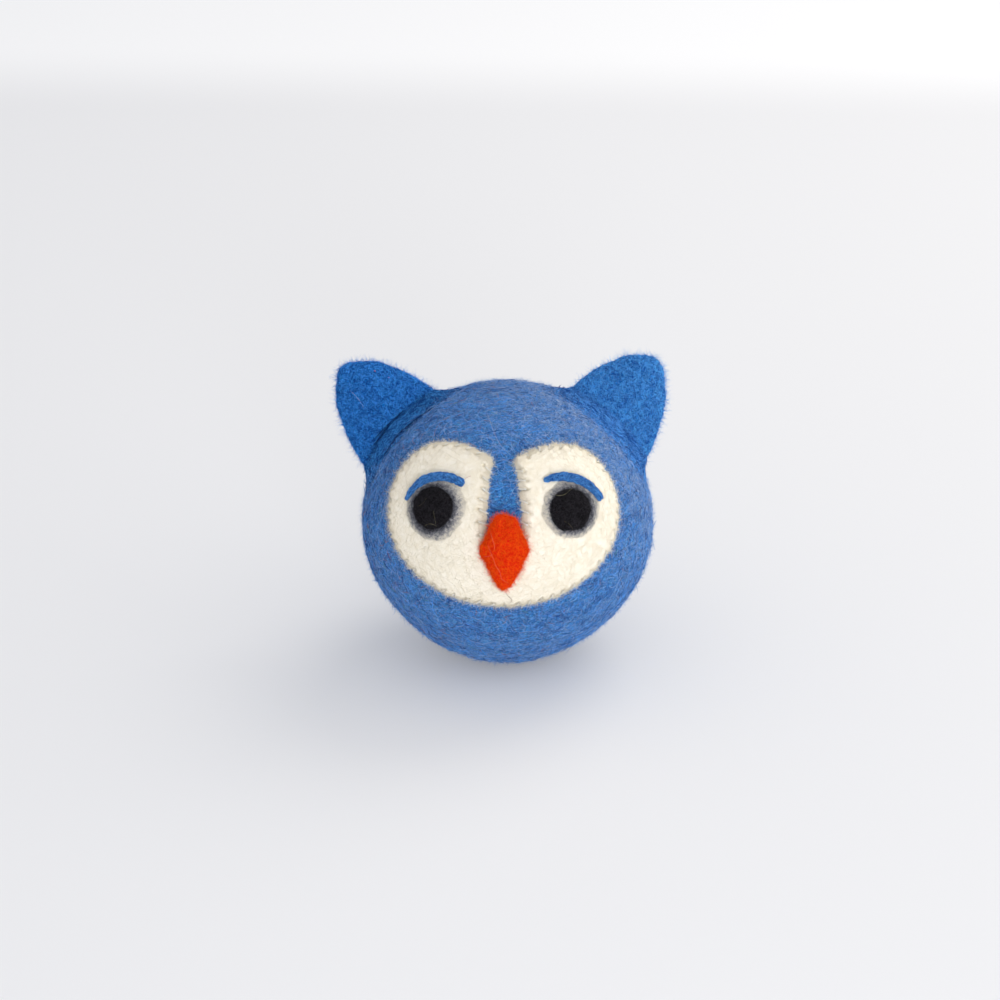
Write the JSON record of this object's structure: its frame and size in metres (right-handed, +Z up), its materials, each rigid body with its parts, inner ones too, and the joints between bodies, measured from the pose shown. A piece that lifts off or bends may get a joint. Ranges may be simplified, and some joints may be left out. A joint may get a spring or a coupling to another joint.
{
  "type": "felted wool cat toy ball",
  "caption": "Solid felted wool ball for a cat to bat and chase, with an owl-like face of sewn and needled felt and two pointed ears.",
  "frame": {"origin": "centre of the small flat that the ball rests on, straight below the middle of the ball", "axes": "+Z up; -Y is the way the face looks, tipped up by the lean of the head; +X runs across the ears"},
  "size_m": [0.0735, 0.0689, 0.0667],
  "materials": {
    "core_wool": "undyed carded wool, felted",
    "ball_felt": "blue wool, wet felted, with stray fibres",
    "ear_felt": "bright blue wool, needle felted",
    "collar_wool": "blue wool, laid on and needled",
    "patch_felt": "cream sheet felt, whip stitched",
    "ring_wool": "grey carded wool, loosely needled",
    "pupil_felt": "black felt, domed",
    "brow_strand": "blue wool strand",
    "beak_wool": "orange wool, needle felted"
  },
  "bodies": {
    "root": {"wool_core": "core_wool", "ball_skin": "ball_felt", "ear_left": "ear_felt", "ear_right": "ear_felt", "ear_collar_left": "collar_wool", "ear_collar_right": "collar_wool", "face_patch": "patch_felt", "eye_ring_left": "ring_wool", "eye_ring_right": "ring_wool", "pupil_left": "pupil_felt", "pupil_right": "pupil_felt", "brow_left": "brow_strand", "brow_right": "brow_strand", "beak": "beak_wool"}
  },
  "joints": []
}
